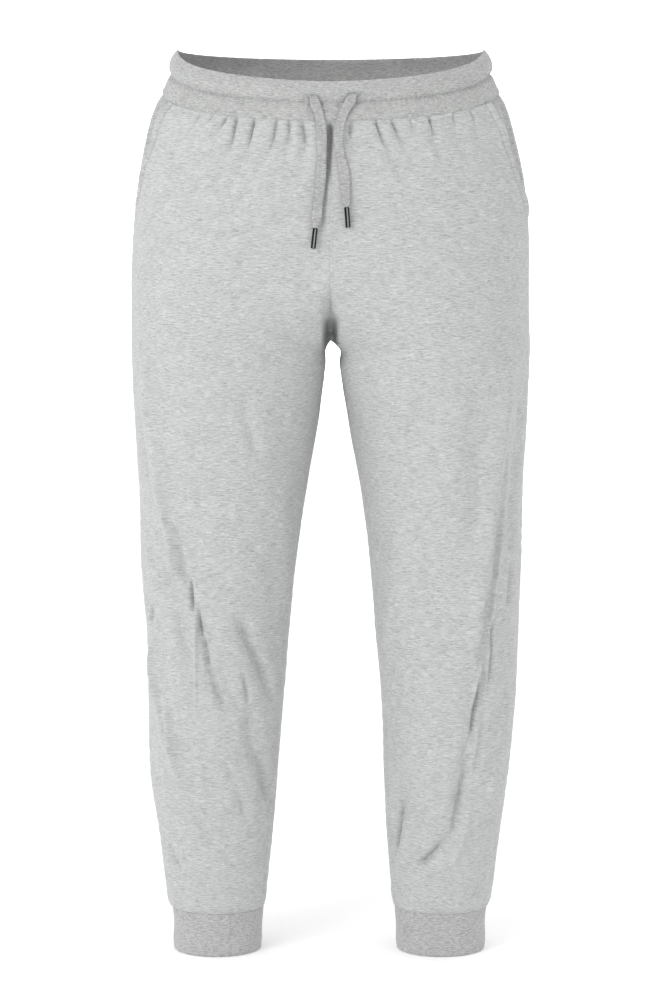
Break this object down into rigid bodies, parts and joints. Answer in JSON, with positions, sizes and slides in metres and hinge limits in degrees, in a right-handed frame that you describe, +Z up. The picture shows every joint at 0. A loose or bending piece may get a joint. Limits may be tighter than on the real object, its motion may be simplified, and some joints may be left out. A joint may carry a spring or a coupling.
{
  "type": "jogger sweatpants",
  "caption": "Full-length marl jersey joggers with elastic waistband, slanted side pockets, flat drawstring ends with metal tips, and fitted cuffs, filled out and hollow.",
  "frame": {"origin": "centre line of the waist, half-way up the waistband at the side seams, where the wearer's waist holds the trousers", "axes": "+Z up through the waist opening, -Y to the front, +X to the wearer's left leg"},
  "size_m": [0.4499, 0.2835, 1.0267],
  "materials": {
    "jersey": "matt light grey marl jersey with fine horizontal streaks",
    "band_jersey": "doubled marl jersey over elastic, slightly darker",
    "cuff_jersey": "doubled marl jersey, slightly darker and finer",
    "cord": "flat folded jersey drawstring",
    "tip_metal": "bright crimped metal tips"
  },
  "bodies": {
    "root": {"front_left": "jersey", "front_right": "jersey", "back_left": "jersey", "back_right": "jersey", "pocket_facing_left": "jersey", "pocket_facing_right": "jersey", "waistband_left": "band_jersey", "waistband_right": "band_jersey", "cuff_left": "cuff_jersey", "cuff_right": "cuff_jersey", "drawstring_left": "cord", "drawstring_right": "cord", "aglet_left": "tip_metal", "aglet_right": "tip_metal"}
  },
  "joints": []
}
